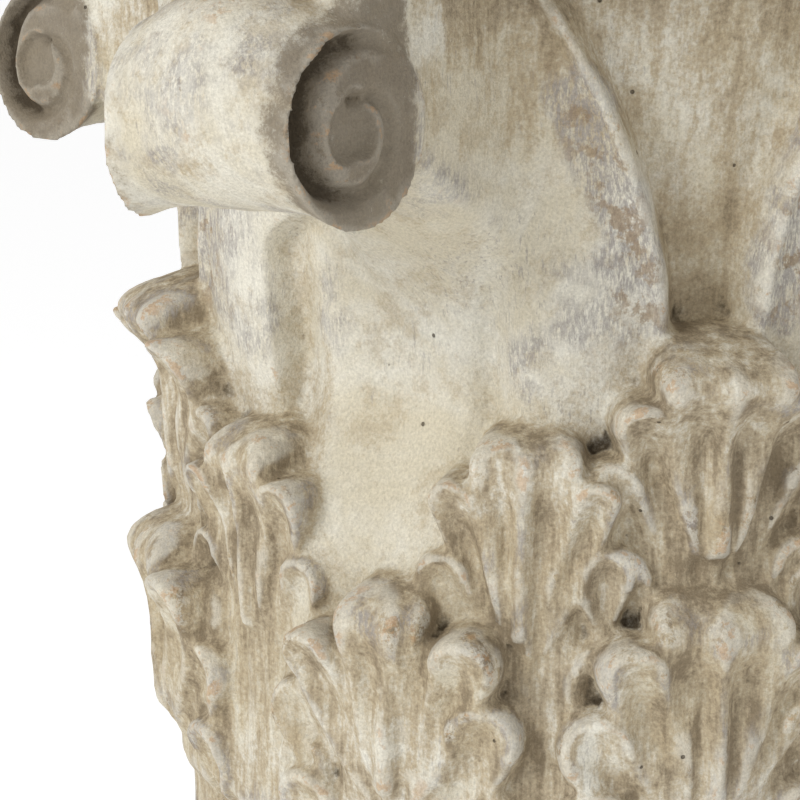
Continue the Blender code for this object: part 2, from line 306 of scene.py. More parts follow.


# tan in the hollows, partly a wash and partly painted shade, darker umber as painted shade in the deepest of them, and
# black painted shade in the crevices
def shadeAndWashGroup():
    group, make, ins, outs = startGroup(
        "hollowShadeAndWash",
        [("Place", "NodeSocketVector", None), ("Hollow", "NodeSocketFloat", 0.0), ("Crevice_shade", "NodeSocketFloat", 0.0),
         ("Tint", "NodeSocketFloat", 0.0), ("Amount", "NodeSocketFloat", 1.0)],
        [("Wash_and_shade", "NodeSocketFloat"), ("Umber_shade", "NodeSocketFloat"), ("Crevice_shade", "NodeSocketFloat")],
    )
    cloud = noiseOf(make, ins["Place"], 20.0, 5.0, 0.66, 0.5)
    grain = noiseOf(make, ins["Place"], 420.0, 3.0, 0.75)
    spread = mathOf(make, "MULTIPLY_ADD", cloud, 1.5, -0.76)
    stipple = mathOf(make, "MULTIPLY_ADD", grain, 0.9, -0.45)
    wash_and_shade_level = mathOf(make, "ADD", mathOf(make, "MULTIPLY_ADD", ins["Tint"], 0.8, ins["Hollow"]), spread)
    runs = noiseOf(make, stretched(make, ins["Place"], (1.0, 1.0, 0.14), (0.06, 0.05, 0.0)), 150.0, 3.0, 0.7)
    runs = mathOf(make, "MULTIPLY", mathOf(make, "MULTIPLY_ADD", runs, 3.4, -1.65), ins["Tint"])
    wash_and_shade_level = mathOf(make, "ADD", mathOf(make, "ADD", wash_and_shade_level, runs), stipple)
    # tan wash and painted shade where hollow and tint run high, umber painted shade where they run higher still
    wash_and_shade = mathOf(make, "MULTIPLY", rampMask(make, wash_and_shade_level, 0.10, 0.62), ins["Amount"], clamp=True)
    umber_shade = mathOf(make, "MULTIPLY", rampMask(make, wash_and_shade_level, 0.50, 1.00), ins["Amount"], clamp=True)
    dark = mathOf(make, "ADD", ins["Crevice_shade"], mathOf(make, "MULTIPLY", stipple, 0.7))
    group.links.new(wash_and_shade, outs["Wash_and_shade"])
    group.links.new(umber_shade, outs["Umber_shade"])
    # painted shade in the deepest hollows, joined to the black of the crevices
    deep_hollow_shade = mathOf(make, "MULTIPLY", rampMask(make, ins["Hollow"], 0.60, 1.0), 0.30)
    group.links.new(mathOf(make, "MAXIMUM", rampMask(make, dark, 0.33, 1.12), deep_hollow_shade), outs["Crevice_shade"])
    return group


# dry-brushed grey on the crests and rust on the sharpest ridges
def brushGroup():
    group, make, ins, outs = startGroup(
        "dryBrush",
        [("Place", "NodeSocketVector", None), ("Crest", "NodeSocketFloat", 0.5), ("Ridge", "NodeSocketFloat", 0.0),
         ("Brushed", "NodeSocketFloat", 0.0)],
        [("Grey", "NodeSocketFloat"), ("Rust", "NodeSocketFloat")],
    )
    patch = noiseOf(make, ins["Place"], 24.0, 3.0, 0.65)
    streak = noiseOf(make, stretched(make, ins["Place"], (1.0, 1.0, 0.25), (0.3, 0.5, 0.0)), 700.0, 3.0, 0.8)
    crest = rampMask(make, mathOf(make, "ADD", ins["Crest"], ins["Brushed"]), 0.50, 0.80)
    where = rampMask(make, mathOf(make, "MULTIPLY_ADD", ins["Brushed"], 0.25, patch), 0.46, 0.60)
    grey = mathOf(make, "MULTIPLY", mathOf(make, "MULTIPLY", crest, where), rampMask(make, streak, 0.36, 0.60))
    sharp = rampMask(make, ins["Ridge"], 0.55, 1.00)
    spot = rampMask(make, noiseOf(make, ins["Place"], 110.0, 4.0, 0.75), 0.52, 0.60)
    group.links.new(grey, outs["Grey"])
    group.links.new(mathOf(make, "MULTIPLY", sharp, spot), outs["Rust"])
    return group


# the height of the cast skin: plaster grain, brush fibres and a few pinholes
def surfaceGroup():
    group, make, ins, outs = startGroup(
        "castSkin",
        [("Place", "NodeSocketVector", None)],
        [("Height", "NodeSocketFloat"), ("Holes", "NodeSocketFloat"), ("Grain", "NodeSocketFloat")],
    )
    place = ins["Place"]
    lumps = noiseOf(make, place, 90.0, 4.0, 0.62)
    grain = noiseOf(make, place, 900.0, 3.0, 0.75)
    fibres = noiseOf(make, stretched(make, place, (1.0, 1.0, 0.3), (0.25, 0.6, 0.2)), 1000.0, 2.0, 0.65)
    dots = make("ShaderNodeTexVoronoi", {"Vector": place, "Scale": 75.0, "Randomness": 1.0})
    rare = make("ShaderNodeSeparateColor", {0: dots.outputs["Color"]}).outputs[0]
    hole = mathOf(make, "MULTIPLY", rampMask(make, dots.outputs["Distance"], 0.075, 0.045),
                  mathOf(make, "GREATER_THAN", rare, 0.70))
    height = mathOf(make, "MULTIPLY_ADD", grain, 0.30, lumps)
    height = mathOf(make, "MULTIPLY_ADD", fibres, 0.12, height)
    height = mathOf(make, "MULTIPLY_ADD", hole, -0.9, height)
    group.links.new(height, outs["Height"])
    group.links.new(hole, outs["Holes"])
    group.links.new(mathOf(make, "MULTIPLY_ADD", fibres, 0.2, mathOf(make, "MULTIPLY", grain, 0.8)), outs["Grain"])
    return group


stoneColours = {
    "pale": (0.630, 0.605, 0.525, 1.0),
    "cream": (0.540, 0.490, 0.375, 1.0),
    "tan": (0.370, 0.295, 0.185, 1.0),
    "umber_shade": (0.170, 0.128, 0.078, 1.0),
    "crevice_shade": (0.050, 0.036, 0.020, 1.0),
    "soil_and_shade": (0.185, 0.152, 0.108, 1.0),
    "grey": (0.270, 0.250, 0.235, 1.0),
    "rust": (0.420, 0.255, 0.125, 1.0),
    "ochre": (0.255, 0.180, 0.105, 1.0),
}


def stoneMaterial(name, groups, amount, crevice_shade_strength):
    material = bpy.data.materials.new(name)
    material.use_nodes = True
    tree = material.node_tree
    make = nodeMaker(tree)
    shader = tree.nodes["Principled BSDF"]
    place = make("ShaderNodeTexCoord").outputs["Object"]
    kinds = ("hollow", "crest", "ridge", "crevice_shade", "soil_and_shade", "tint", "brushed")
    shade = {kind: make("ShaderNodeAttribute", attribute_name=kind).outputs["Fac"] for kind in kinds}
    wash_and_shade = make("ShaderNodeGroup", node_tree=groups["wash_and_shade"])
    brush = make("ShaderNodeGroup", node_tree=groups["brush"])
    skin = make("ShaderNodeGroup", node_tree=groups["skin"])
    for node in (wash_and_shade, brush, skin):
        tree.links.new(place, node.inputs["Place"])
    for label in ("hollow", "crevice_shade", "tint"):
        tree.links.new(shade[label], wash_and_shade.inputs[label.capitalize()])
    wash_and_shade.inputs["Amount"].default_value = amount
    for label in ("crest", "ridge", "brushed"):
        tree.links.new(shade[label], brush.inputs[label.capitalize()])
    c = stoneColours
    cloud = rampMask(make, noiseOf(make, place, 11.0, 5.0, 0.72, 0.8), 0.36, 0.62)
    colour = blendColour(make, cloud, c["pale"], c["cream"])
    stain = rampMask(make, noiseOf(make, place, 42.0, 7.0, 0.80), 0.50, 0.62)
    colour = blendColour(make, mathOf(make, "MULTIPLY", stain, 0.45), colour, c["tan"])
    patch = rampMask(make, noiseOf(make, place, 17.0, 4.0, 0.6), 0.46, 0.60)
    stroke = noiseOf(make, stretched(make, place, (1.0, 1.0, 0.16), (0.2, 0.75, 0.3)), 620.0, 3.0, 0.75)
    stroke = mathOf(make, "MULTIPLY", rampMask(make, stroke, 0.56, 0.66), mathOf(make, "MULTIPLY", patch, 0.55))
    colour = blendColour(make, stroke, colour, c["grey"])
    # tan wash with painted shade in the hollows, then umber painted shade in the deepest of them
    colour = blendColour(make, mathOf(make, "MULTIPLY", wash_and_shade.outputs["Wash_and_shade"], 0.80), colour, c["tan"])
    colour = blendColour(make, mathOf(make, "MULTIPLY", wash_and_shade.outputs["Umber_shade"], 0.75), colour, c["umber_shade"])
    colour = blendColour(make, mathOf(make, "MULTIPLY", brush.outputs["Grey"], 0.80), colour, c["grey"])
    blot = mathOf(make, "MULTIPLY", rampMask(make, noiseOf(make, place, 62.0, 5.0, 0.75), 0.50, 0.58), shade["brushed"])
    colour = blendColour(make, mathOf(make, "MULTIPLY", blot, 1.1, clamp=True), colour, c["ochre"])
    mottle = mathOf(make, "MULTIPLY_ADD", noiseOf(make, place, 85.0, 5.0, 0.72), 1.3, -0.60)
    mottle = mathOf(make, "MULTIPLY_ADD", skin.outputs["Grain"], 1.2, mathOf(make, "SUBTRACT", mottle, 0.60))
    soil_and_shade_level = mathOf(make, "ADD", shade["soil_and_shade"], mottle)
    # dark soil on the spirals' faces, then near-black painted shade down in their sunk channels
    colour = blendColour(make, mathOf(make, "MULTIPLY", rampMask(make, soil_and_shade_level, 0.45, 0.95), 0.90), colour, c["soil_and_shade"])
    colour = blendColour(make, mathOf(make, "MULTIPLY", rampMask(make, soil_and_shade_level, 1.15, 1.75), 0.85), colour, c["crevice_shade"])
    # paler on the sharp ridges, less where the soil level is high
    paleOnRidges = mathOf(make, "MULTIPLY", rampMask(make, shade["ridge"], 0.30, 0.85), rampMask(make, stain, 0.9, 0.3))
    paleOnRidges = mathOf(make, "MULTIPLY", paleOnRidges, mathOf(make, "MULTIPLY_ADD", shade["soil_and_shade"], -0.35, 0.5))
    colour = blendColour(make, paleOnRidges, colour, c["pale"])
    colour = blendColour(make, mathOf(make, "MULTIPLY", brush.outputs["Rust"], 0.55), colour, c["rust"])
    # near-black painted shade in the crevices and the deepest hollows
    colour = blendColour(make, mathOf(make, "MULTIPLY", wash_and_shade.outputs["Crevice_shade"], crevice_shade_strength), colour, c["crevice_shade"])
    speck = make("ShaderNodeMapRange", {"Value": skin.outputs["Grain"], "From Min": 0.35, "From Max": 0.65,
                                        "To Min": 0.80, "To Max": 1.12}).outputs["Result"]
    colour = blendColour(make, 1.0, colour, make("ShaderNodeCombineColor", {0: speck, 1: speck, 2: speck}).outputs[0],
                         "MULTIPLY")
    # near-black painted shade in the pinholes
    colour = blendColour(make, mathOf(make, "MULTIPLY", skin.outputs["Holes"], 0.8), colour, c["crevice_shade"])
    tree.links.new(colour, shader.inputs["Base Color"])
    shader.inputs["Roughness"].default_value = 0.88
    shader.inputs["Specular IOR Level"].default_value = 0.25
    lift = make("ShaderNodeBump", {"Strength": 0.8, "Distance": 0.0020, "Height": skin.outputs["Height"]})
    tree.links.new(lift.outputs["Normal"], shader.inputs["Normal"])
    return material


# capital: the carving is measured in units outward and in drops under the top
capitalSet = {
    "unit": 0.175,  # a scroll's place in X and in Y
    "drops": 2.314,
    "turns": 820,
    "rows": 320,
    "sunk": 0.02,
    "voxel": 0.0016,
    "triangles": 192000,  # the flat cuts add a few
    "wear": 0.00045,
    "seed": 7,
    "rays": 9,
}
unit = capitalSet["unit"]
dropUnit = (capitalHigh.z - capitalLow.z) / capitalSet["drops"]
scrollSet = {
    "rim": 0.0350,
    "roll": 0.0403,
    "width": 0.0896,
    "rimDrop": 0.0893,
    "rollDrop": 0.0782,
    "turn": radians(9),  # its ends toe in
    "around": 160,
    "endRings": 34,
    "sideRings": 24,
}
abacusSet = {"mid": 1.13, "rise": 0.12, "reach": 1.02, "corner": 1.605, "thick": 0.034}


def bellRadius(drop):
    behindLeaves = 0.135 * soft(drop, 1.06, 1.55) * soft(drop, 2.29, 2.12)
    return 0.806 + 0.04 * soft(drop, 1.3, 0.9) + 0.10 * soft(drop, 0.9, 0.15) ** 1.6 + behindLeaves


# the hollow between two stalks at a corner
def hollowRadius(turn, drop):
    return bellRadius(drop) + 0.035 * soft(np.degrees(turn), 45.0, 33.0) * soft(np.degrees(turn), 26.0, 34.0)


# how many degrees a stalk's crest stands from the middle of the side
def crestDegrees(drop):
    return 5.6 + 14.5 * np.clip((0.98 - drop) / 0.69, 0.0, 1.1) ** 1.7


def stalkRadius(turn, drop, right):
    degrees = np.degrees(turn)
    crest = crestDegrees(drop)
    outer = np.where(right, 25.0, 31.0) + 20.0 * soft(drop, 0.84, 0.62)
    body = 0.87 + 0.03 * soft(drop, 1.5, 1.1) + 0.035 * soft(drop, 1.25, 0.9) + 0.05 * soft(drop, 0.8, 0.3)
    innerWall = soft(degrees, crest - 2.4, crest + 0.4)
    edge = np.where(right, 0.6, 7.0)
    outerWall = 1.0 - soft(degrees, outer - edge, outer + np.where(right, 0.9, 1.4))
    bead = 0.030 * bump(degrees, crest + 1.2, 1.3) * soft(drop, 1.3, 0.75)
    bulge = 0.020 * np.sin(pi * np.clip((degrees - crest) / (outer - crest), 0, 1))
    bell = bellRadius(drop)
    stalk = bell + (body - bell + bead + bulge) * innerWall * outerWall
    # under the scroll the stalk turns into the plane of the spiral's face
    plane = 0.462 / np.maximum(np.cos(turn + radians(36.0)), 0.2)
    start = 0.98 - 0.22 * right * soft(degrees, 44.0, 34.0)
    limit = hollowRadius(turn, drop) + 0.47 * soft(drop, start, 0.42)
    horn = 0.5 * (plane + limit - np.hypot(plane - limit, 0.05))
    return 0.5 * (stalk + horn + np.hypot(stalk - horn, 0.05 * soft(drop, 1.0, 0.8)))


# fingers of one side of a leaf: start and end as (across, below the top), and the end's half width
leafFingers = (
    ((0.018, 0.46), (0.050, 0.088), 0.084),
    ((0.030, 0.50), (0.152, 0.185), 0.068),
    ((0.035, 0.66), (0.195, 0.350), 0.078),
    ((0.035, 0.86), (0.200, 0.550), 0.084),
    ((0.035, 1.10), (0.195, 0.770), 0.090),
)
leafSet = {
    "least": 0.055,  # how far a stem stands off the bell
    "stemSunk": 0.02,
    "stem": (0.05, 0.085),  # its half width at the top, and what it gains
    "start": 0.036,  # half width where a finger starts
    "steps": 15,
    "dish": 0.040,
    "lip": 0.006,
    "vein": 0.018,
    "back": 0.016,
    "curl": 0.040,
    "rib": 0.012,
    "groove": 0.020,
    "strays": (0.012, 0.016, 0.08, 0.012),  # a finger's random shift across and down, growth and depth
}


def leafRadius(across, below, bell, leaf, rng):
    body = leaf["body"] - 0.05 * soft(below, 0.2, 0.9) - 0.10 * soft(below, 0.45, 0.85) * leaf["taper"]
    plane = np.maximum(body + (leaf["tip"] - body) * bump(below, 0.09, 0.10) - bell, leafSet["least"])
    nose = np.sqrt(np.clip(1.0 - (np.clip(0.12 - below, 0, 1) / 0.125) ** 2, 0.0, 1.0))
    width = leaf["width"]
    stem = width * (leafSet["stem"][0] + leafSet["stem"][1] * soft(below, 0.12, 0.45))
    lift = (plane * nose - leafSet["stemSunk"]) * np.clip(1.0 - (across / stem) ** 4, 0.0, 1.0) ** 0.5
    for side in (-1, 1):
        for number, ((x0, y0), (x1, y1), endWidth) in enumerate(leafFingers):
            stray = rng.uniform(-1.0, 1.0, 4) * leafSet["strays"]
            nearest = np.full_like(across, 9.0)
            along = np.zeros_like(across)
            apart = leaf["cleft"] if number == 0 else 1.0
            for q in np.linspace(0.0, 1.0, leafSet["steps"]):
                bow = 0.05 * q * (1.0 - q)
                x = side * width * (x0 + (x1 + stray[0] - x0) * q + bow) * apart
                y = y0 + (y1 + stray[1] - y0) * q + bow * 0.4
                half = width * (leafSet["start"] + (endWidth * (1 + stray[2]) - leafSet["start"]) * q**0.8)
                near = np.hypot(across - x, below - y) / half
                along = np.where(near < nearest, q, along)
                nearest = np.minimum(near, nearest)
            dome = np.clip(1.0 - nearest**7, 0.0, 1.0) ** 0.5
            carved = (0.55, 0.75, 1.0)[min(number, 2)] * soft(along, 0.25, 0.7)
            dish = leafSet["dish"] * carved * bump(nearest, 0.0, 0.55)
            lip = leafSet["lip"] * carved * bump(nearest, 0.78, 0.14)
            vein = leafSet["vein"] * bump(nearest, 0.0, 0.10) * soft(along, 0.1, 0.3) * soft(along, 0.95, 0.7)
            back = leafSet["back"] * min(number, 2) + stray[3]
            curl = leafSet["curl"] * along**3 * min(number, 1)
            lift = np.maximum(lift, (plane * nose - back + curl + lip - dish - vein) * dome)
    rib = bump(across, 0.0, 0.020) * soft(below, 0.10, 0.25) * soft(below, 0.75, 0.45)
    groove = bump(np.abs(across), 0.034, 0.009) * soft(below, 0.12, 0.25) * soft(below, 0.95, 0.60)
    shown = lift > 0.004
    lift = lift + leafSet["rib"] * rib - groove * np.clip(0.40 * lift, 0.0, leafSet["groove"])
    return np.where(shown, bell + lift, 0.0)


# every leaf from the back forward; those in the photograph have their own lean
def leafTiers():
    high = {"body": 1.02, "tip": 1.13, "width": 1.15, "taper": 0.0, "cleft": 1.0}
    middle = {"body": 1.01, "tip": 1.06, "width": 0.95, "taper": 0.0, "cleft": 1.0}
    low = {"body": 1.045, "tip": 1.10, "taper": 1.0}
    leaves = [dict(high, angle=90.0 * k, top=0.93 if k == 3 else 0.965) for k in range(4)]
    for k in range(4):
        leaves.append(dict(middle, angle=90.0 * k - 24.0, top=1.15))
        leaves.append(dict(middle, angle=90.0 * k + 24.0, top=1.21))
    for k in range(8):
        form = {"width": 1.24, "cleft": 1.0} if k % 2 == 0 else {"width": 1.16, "cleft": 0.3}
        leaves.append(dict(low, angle=45.0 * k + (4.0 if k == 7 else 0.0), top=1.51, **form))
    return leaves


def carvedRadius(angle, drop):
    quarter = pi / 2
    local = (angle + quarter / 2) % quarter - quarter / 2
    turn = np.abs(local)
    bell = bellRadius(drop)
    radius = np.maximum(stalkRadius(turn, drop, local > 0), hollowRadius(turn, drop))
    rng = np.random.default_rng(capitalSet["seed"])
    for leaf in leafTiers():
        apart = (angle - radians(leaf["angle"]) + pi) % (2 * pi) - pi
        near = (np.abs(apart) < 0.36 * leaf["width"]) & (drop > leaf["top"] - 0.02)
        front = leafRadius(apart[near], (drop - leaf["top"])[near], bell[near], leaf, rng)
        radius[near] = np.maximum(radius[near], front)
    return radius


# hollow sides and cut corners
def abacusRadius(turn):
    mid, bend = abacusSet["mid"], abacusSet["rise"] / abacusSet["reach"] ** 2
    side = np.maximum(np.sin(turn), 1e-4)
    hollow = (np.cos(turn) - np.sqrt(np.cos(turn) ** 2 - 4 * bend * mid * side**2)) / (2 * bend * side**2)
    return np.minimum(hollow, abacusSet["corner"] / np.cos(pi / 4 - turn))


def capitalShape(angle, share):
    drop = share * (capitalSet["drops"] + capitalSet["sunk"] / dropUnit)
    radius = carvedRadius(angle, drop)
    local = (angle + pi / 4) % (pi / 2) - pi / 4
    slab = abacusRadius(np.abs(local))
    thick = abacusSet["thick"] / dropUnit
    profile = np.interp(drop / thick, (0.0, 0.62, 0.70, 1.0), (1.0, 1.0, 0.972, 0.945))
    radius = np.where(drop < thick, slab * profile, radius)
    return radius * unit, capitalHigh.z - drop * dropUnit


# the spiral's channel from the rim inwards: angle in degrees, place, half width and depth as radius shares
spiralLine = (
    (55, 0.93, 0.05, 0.10),
    (100, 0.87, 0.10, 0.24),
    (150, 0.82, 0.15, 0.36),
    (190, 0.78, 0.16, 0.38),
    (225, 0.72, 0.12, 0.30),
    (270, 0.60, 0.07, 0.18),
    (330, 0.47, 0.06, 0.14),
    (380, 0.42, 0.05, 0.16),
    (440, 0.34, 0.05, 0.24),
    (470, 0.30, 0.04, 0.10),
)
eyeSet = {"run": -0.14, "up": -0.02, "size": 0.36, "depth": 0.10}


def spiralGroove(radius, angle):
    stops, places, widths, depths = (np.array(column, dtype=float) for column in zip(*spiralLine))
    depth = np.zeros_like(radius)
    for lap in (0.0, 360.0):
        degrees = np.degrees(angle) % 360.0 + lap
        inside = (degrees > stops[0]) & (degrees < stops[-1])
        channel = np.interp(degrees, stops, depths) * bump(radius, np.interp(degrees, stops, places),
                                                           np.interp(degrees, stops, widths))
        depth = np.maximum(depth, np.where(inside, channel, 0.0))
    # the drop-shaped eye stands dished inside a thin rim
    u = radius * np.cos(angle) - eyeSet["run"]
    v = radius * np.sin(angle) - eyeSet["up"]
    away = np.hypot(u, v - 0.10 * bump(u, 0.05, 0.18)) / eyeSet["size"]
    dish = eyeSet["depth"] * soft(away, 1.0, 0.75) - 0.05 * bump(away, 1.04, 0.10)
    return depth + dish


# each scroll's directions: outward, along its axis and up
def scrollWays(corner):
    out = np.array([sin(corner), -cos(corner), 0.0])
    axis = np.array([cos(corner), sin(corner), 0.0])
    return out, axis, np.array([0.0, 0.0, 1.0])


# a waisted roll with a spiral sunk in each end
def addScroll(corner):
    around = scrollSet["around"]
    out, axis, up = scrollWays(corner)
    ends = np.linspace(0.03, 0.95, scrollSet["endRings"])
    sides = np.linspace(-1.0, 1.0, scrollSet["sideRings"])
    shares = np.concatenate([ends, np.ones(len(sides)), ends[::-1]])
    places = np.concatenate([np.full(len(ends), -1.0), sides, np.full(len(ends), 1.0)])
    angles = np.arange(around) * 2 * pi / around
    rings = []
    for index, (share, place) in enumerate(zip(shares, places)):
        tilt = scrollSet["turn"] * place
        run = out * cos(tilt) - axis * sin(tilt)
        face = axis * cos(tilt) + out * sin(tilt)
        onEnd = index < len(ends) or index >= len(ends) + len(sides)
        turned = pi - angles if place > 0 else angles
        depth = spiralGroove(np.full(around, share), turned) * onEnd * scrollSet["rim"]
        waist = place**2 + 1.2 * (place**2 * (1 - place**2))
        r = (scrollSet["roll"] + (scrollSet["rim"] - scrollSet["roll"]) * waist) * share
        low = scrollSet["rollDrop"] + (scrollSet["rimDrop"] - scrollSet["rollDrop"]) * place**2
        ring = out * unit * 2**0.5 + up * (capitalHigh.z - low) + axis * (scrollSet["width"] / 2 * place)
        ring = ring + np.outer(r * np.cos(angles), run) + np.outer(r * np.sin(angles), up)
        rings.append(ring - np.outer(depth * np.sign(place), face))
    bpy.ops.mesh.primitive_cylinder_add(vertices=around, end_fill_type="NOTHING")
    piece = bpy.context.active_object
    mesh = bmesh.new()
    loops = [[mesh.verts.new(p) for p in ring] for ring in rings]
    for first, second in zip(loops, loops[1:]):
        for i in range(around):
            j = (i + 1) % around
            mesh.faces.new((first[i], first[j], second[j], second[i]))
    mesh.faces.new(loops[0])
    mesh.faces.new(loops[-1])
    bmesh.ops.recalc_face_normals(mesh, faces=mesh.faces)
    mesh.to_mesh(piece.data)
    mesh.free()
    return piece


# how strong each finish, and each patch of painted shade, is painted
paintSet = {
    "shadeUnderAbacus": 0.45,
    "leaves": 0.58,
    "crests": 0.30,
    "shadeBesideArris": 0.35,
    "brushed": 0.7,
    "rims": (0.50, 0.90),  # the left and right ends of a scroll
}


# the wash on the leaves, painted shade close under the abacus, in the recess between the crests and beside the outer
# edge of the right-hand stalks, the brushed stalks, and the dirt on the spirals' faces, which turns to painted shade
# deeper in the sunk channel
def capitalPaint(points, normals):
    drop = (capitalHigh.z - points[:, 2]) / dropUnit
    angle = np.arctan2(points[:, 0], -points[:, 1])
    turn = np.abs((angle + pi / 4) % (pi / 2) - pi / 4)
    right = (angle + pi / 4) % (pi / 2) > pi / 4
    bare = np.maximum(stalkRadius(turn, drop, right), hollowRadius(turn, drop))
    onLeaf = soft(carvedRadius(angle, drop) - bare, 0.004, 0.03)
    # painted shade in a band close under the abacus
    tint = paintSet["shadeUnderAbacus"] * soft(drop, 0.63, 0.57) * soft(drop, 0.14, 0.20)
    tint = np.maximum(tint, paintSet["leaves"] * onLeaf)
    crest = crestDegrees(drop)
    degrees = np.degrees(turn)
    # painted shade in the recess between the two crests of a side
    tint = np.maximum(tint, paintSet["crests"] * soft(degrees, crest, crest - 1.5) * soft(drop, 1.3, 0.9))
    # painted shade on the wall beside the outer edge of the right-hand stalk
    tint = np.maximum(tint, paintSet["shadeBesideArris"] * bump(degrees, 31.5, 2.5) * right * soft(drop, 0.7, 0.85))
    brushed = paintSet["brushed"] * bump(degrees, crest + 4.2, 4.0)
    brushed = brushed * soft(drop, 1.10, 0.90) * soft(drop, 0.35, 0.50)
    soil_and_shade = np.zeros(len(points))
    for number in range(4):
        out, axis, up = scrollWays(pi / 4 + number * pi / 2)
        for place in (-1.0, 1.0):
            tilt = scrollSet["turn"] * place
            run = out * cos(tilt) - axis * sin(tilt)
            face = (axis * cos(tilt) + out * sin(tilt)) * place
            centre = out * unit * 2**0.5 + up * (capitalHigh.z - scrollSet["rimDrop"])
            centre = centre + axis * (scrollSet["width"] / 2 * place)
            away = points - centre
            inward, r = away @ face, np.hypot(away @ run, away @ up) / scrollSet["rim"]
            facing = normals @ face
            inFace = np.maximum(soft(r, 1.0, 0.93) * soft(facing, 0.2, 0.5), soft(r, 0.86, 0.80))
            onFace = soft(inward, -0.022, -0.018) * soft(inward, 0.016, 0.012) * inFace
            # deeper inside the face the soil runs on into painted shade
            onFace = onFace * (1.0 + 0.8 * soft(inward, -0.003, -0.009))
            rim = paintSet["rims"][int(place > 0)]
            rim = rim * soft(inward, -0.018, -0.008) * soft(inward, 0.008, 0.004) * soft(r, 0.85, 0.95)
            nearScroll = (r < 1.5) & (np.abs(inward) < 0.03) & (away @ out > -0.03)
            soil_and_shade = np.where(nearScroll, np.maximum(onFace, rim), soil_and_shade)
            tint = np.where(nearScroll, 0.0, tint)
    return {"soil_and_shade": soil_and_shade, "tint": tint, "brushed": brushed * (1.0 - onLeaf)}


def makeCapital(material):
    print("capital: rolling the carved body")
    body = rolledGrid("capital_stone", capitalSet["turns"], capitalSet["rows"], capitalShape)
    joinPieces(body, [addScroll(pi / 4 + corner * pi / 2) for corner in range(4)])
    print("capital: casting in one", len(body.data.vertices))
    applyModifier(body, "REMESH", mode="VOXEL", voxel_size=capitalSet["voxel"])
    writePoints(body, evened(readPoints(body), readEdges(body), 2))
    wear(body, capitalSet["wear"])
    print("capital: thinning", len(body.data.vertices))
    thin(body, capitalSet["triangles"])
    cutFlat(body, capitalLow.z, False)
    cutFlat(body, capitalHigh.z, True)
    print("capital: reading its hollows and crests")
    shadeAttributes(body, capitalSet["rays"], capitalPaint(readPoints(body), readNormals(body)))
    finishPiece(body, "capital", material)


# shaft: round flutes between flat fillets, a ring at the neck and a small foot
shaftSet = {
    "footRadius": 0.150,
    "neckRadius": 0.136,
    "ring": 0.0095,
    "step": 0.010,
    "cove": 0.012,
    "flutes": 20,
    "share": 0.72,  # of the way round that the flutes take
    "margin": 0.032,
    "away": 0.35,
    "turns": 440,
    "rows": 180,
    "wear": 0.0005,
    "rays": 4,
}


# radius and height at a share of the way along a profile
def alongProfile(points, share):
    points = np.array(points)
    reach = np.concatenate([[0.0], np.cumsum(np.hypot(*np.diff(points, axis=0).T))])
    place = share * reach[-1]
    return np.interp(place, reach, points[:, 0]), np.interp(place, reach, points[:, 1])


def arcPoints(radius, height, size, start, end, steps=10):
    turns = np.radians(np.linspace(start, end, steps + 1))
    return [(radius + size * cos(t), height + size * sin(t)) for t in turns]


def shaftShape(angle, share):
    s = shaftSet
    ringHeight = shaftHigh.z - s["ring"]
    coveTop = shaftLow.z + s["step"] + s["cove"]
    foot = s["footRadius"] + 0.35 * s["cove"]
    profile = [(s["neckRadius"] - 0.01, shaftHigh.z)]
    profile += arcPoints(s["neckRadius"], ringHeight, s["ring"], 90, -90)
    profile += [(s["neckRadius"], ringHeight - s["ring"] - 0.002), (s["footRadius"], coveTop)]
    profile += [(foot, shaftLow.z + s["step"]), (foot, shaftLow.z)]
    radius, height = alongProfile(profile, share)
    bottom, top = coveTop + s["margin"], ringHeight - s["ring"] - s["margin"]
    flute = pi * (s["footRadius"] + s["neckRadius"]) / 2 / s["flutes"] * s["share"]
    step = 2 * pi / s["flutes"]
    local = (angle % step) - step / 2
    beyond = np.maximum(np.maximum(bottom - height, height - top), 0.0)
    size = np.sqrt(np.maximum(flute**2 - beyond**2, 0.0))
    centre = np.interp(height, (bottom, top), (s["footRadius"], s["neckRadius"])) + s["away"] * flute
    inside = size**2 - (centre * np.sin(local)) ** 2
    cut = centre * np.cos(local) - np.sqrt(np.maximum(inside, 0.0))
    return np.where(inside > 0.0, np.minimum(radius, cut), radius), height


def makeShaft(material):
    print("shaft: rolling the flutes")
    shaft = rolledGrid("shaft_stone", shaftSet["turns"], shaftSet["rows"], shaftShape)
    wear(shaft, shaftSet["wear"])
    cutFlat(shaft, shaftLow.z, False)
    cutFlat(shaft, shaftHigh.z, True)
    shadeAttributes(shaft, shaftSet["rays"], {})
    finishPiece(shaft, "shaft", material)


# base: a worn square plinth under two round mouldings
baseSet = {
    "width": 0.380,
    "plinth": 0.048,
    "edge": 0.003,
    "topRadius": 0.160,
    "lower": 0.014,
    "upper": 0.010,
    "fillet": 0.006,
    "scotia": 0.010,
    "flare": 0.004,  # the lower moulding stands out by this
    "sunk": 0.010,  # cut off again at the floor
    "turns": 300,
    "rows": 90,
    "voxel": 0.0023,
    "triangles": 110000,
    "wear": 0.0006,
    "rays": 4,
}


